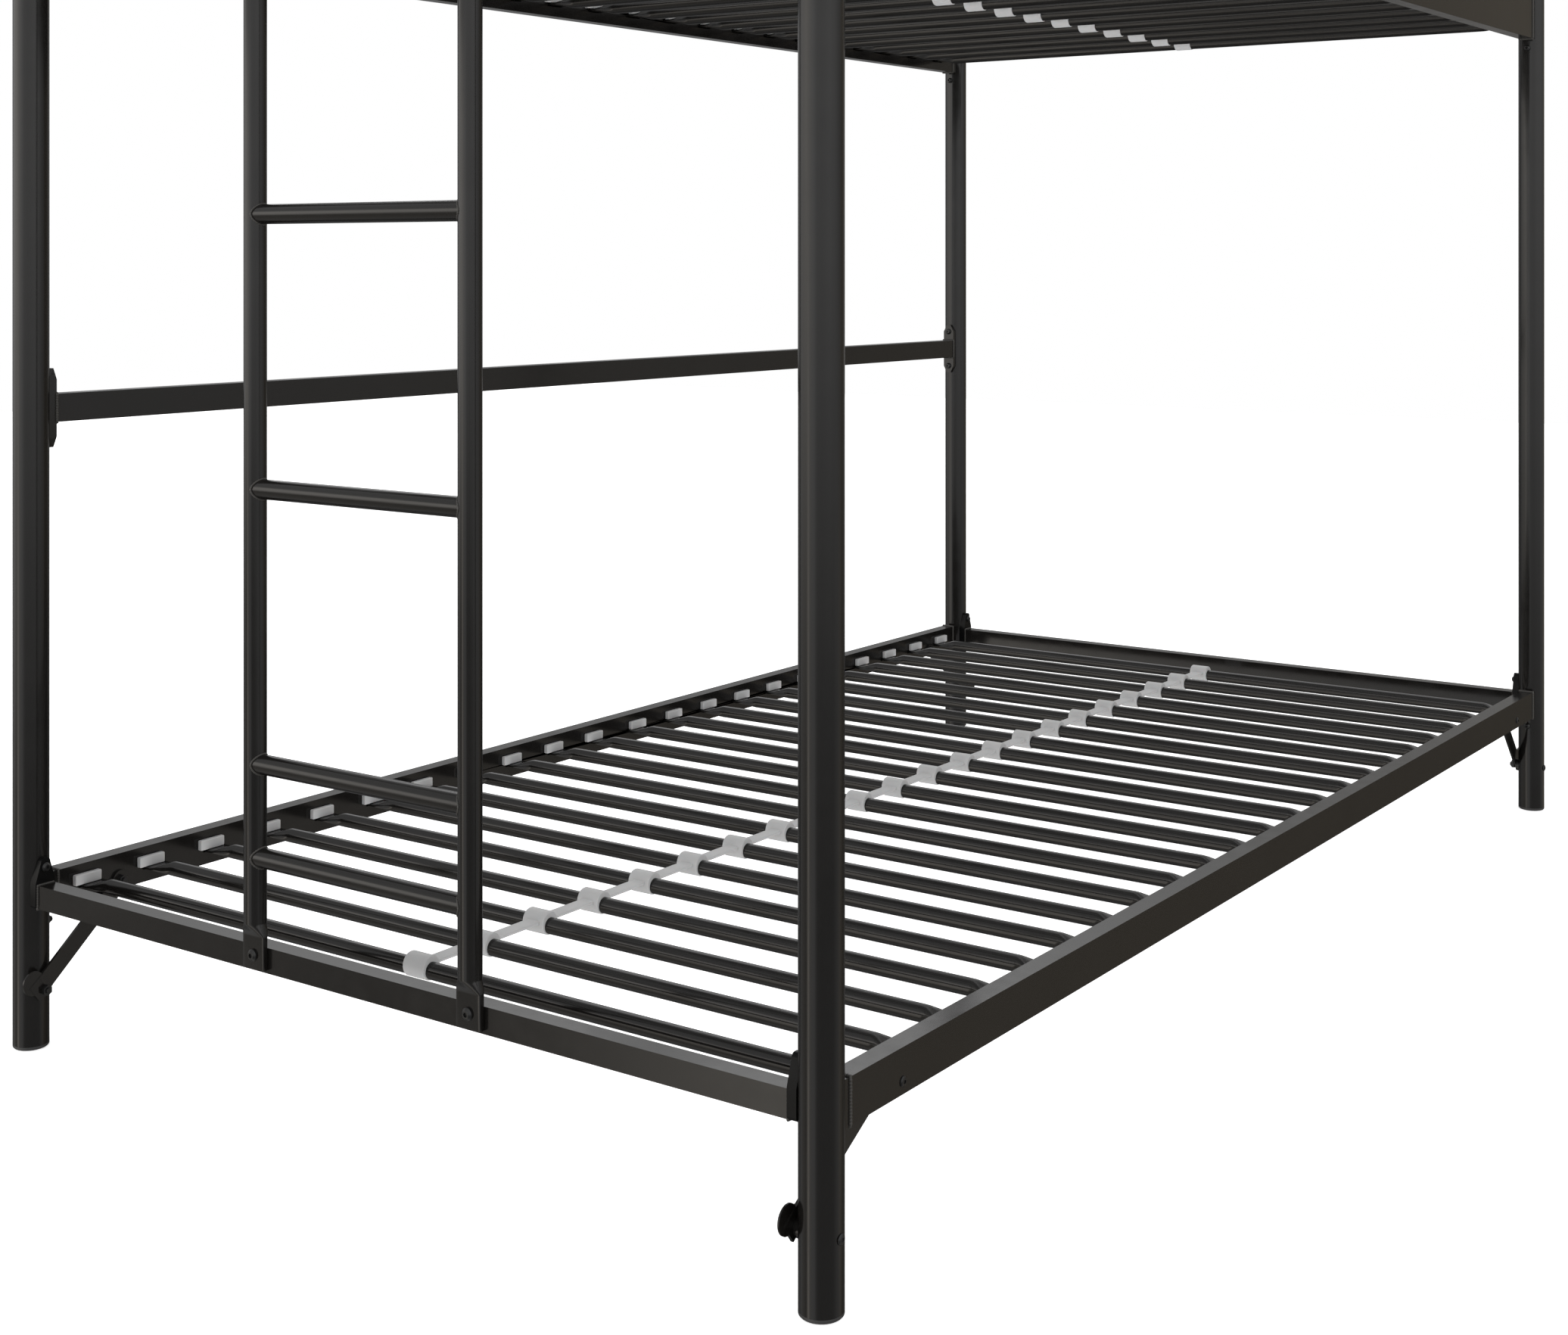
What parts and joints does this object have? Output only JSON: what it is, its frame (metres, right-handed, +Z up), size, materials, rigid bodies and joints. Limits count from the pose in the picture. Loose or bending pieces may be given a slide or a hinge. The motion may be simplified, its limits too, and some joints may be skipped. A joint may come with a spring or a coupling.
{
  "type": "bunk bed with ladder",
  "caption": "Metal bunk bed for two single mattresses, with tube slats, bolted rails, guards round the upper deck and a straight ladder at the foot end.",
  "frame": {"origin": "on the floor, midway between the four posts", "axes": "+Z up, +Y along the bed from the ladder end to the head end, +X across the bed from the wall side to the room side"},
  "size_m": [1.075, 2.014, 1.65],
  "materials": {
    "frame_steel": "semi-gloss black powder coat",
    "hardware": "black oxide",
    "clip_plastic": "matte light grey",
    "black_plastic": "matte black"
  },
  "bodies": {
    "root": {"foot_room_post": "frame_steel", "foot_wall_post": "frame_steel", "head_room_post": "frame_steel", "head_wall_post": "frame_steel", "foot_room_upper_post": "frame_steel", "foot_wall_upper_post": "frame_steel", "head_room_upper_post": "frame_steel", "head_wall_upper_post": "frame_steel", "post_joint_sleeves": "frame_steel", "foot_plugs": "black_plastic", "post_caps": "black_plastic", "lower_room_rail": "frame_steel", "lower_wall_rail": "frame_steel", "upper_room_rail": "frame_steel", "upper_wall_rail": "frame_steel", "side_rail_hook_plates": "frame_steel", "rail_lock_studs": "hardware", "lower_foot_rail": "frame_steel", "lower_head_rail": "frame_steel", "upper_foot_rail": "frame_steel", "upper_head_rail": "frame_steel", "end_rail_brackets": "frame_steel", "end_bracket_bolts": "hardware", "lower_slats": "frame_steel", "upper_slats": "frame_steel", "lower_slat_caps": "clip_plastic", "upper_slat_caps": "clip_plastic", "lower_centre_clips": "clip_plastic", "upper_centre_clips": "clip_plastic", "foot_room_brace": "frame_steel", "foot_wall_brace": "frame_steel", "head_room_brace": "frame_steel", "head_wall_brace": "frame_steel", "brace_saddles": "frame_steel", "brace_rail_bolts": "hardware", "brace_post_bolts": "hardware", "brace_nuts": "hardware", "wall_stretcher": "frame_steel", "stretcher_end_plates": "frame_steel", "stretcher_bolts": "hardware", "room_ladder_stile": "frame_steel", "wall_ladder_stile": "frame_steel", "ladder_rungs": "frame_steel", "ladder_bolts": "hardware", "room_guard_top_rail": "frame_steel", "room_guard_bars": "frame_steel", "room_guard_spindles": "frame_steel", "wall_guard_top_rail": "frame_steel", "wall_guard_bars": "frame_steel", "wall_guard_spindles": "frame_steel", "head_guard_top_rail": "frame_steel", "head_guard_bars": "frame_steel", "head_guard_spindle": "frame_steel", "foot_guard_top_rails": "frame_steel", "foot_guard_bars": "frame_steel", "foot_guard_uprights": "frame_steel", "guard_end_plates": "frame_steel", "guard_bolts": "hardware"}
  },
  "joints": []
}
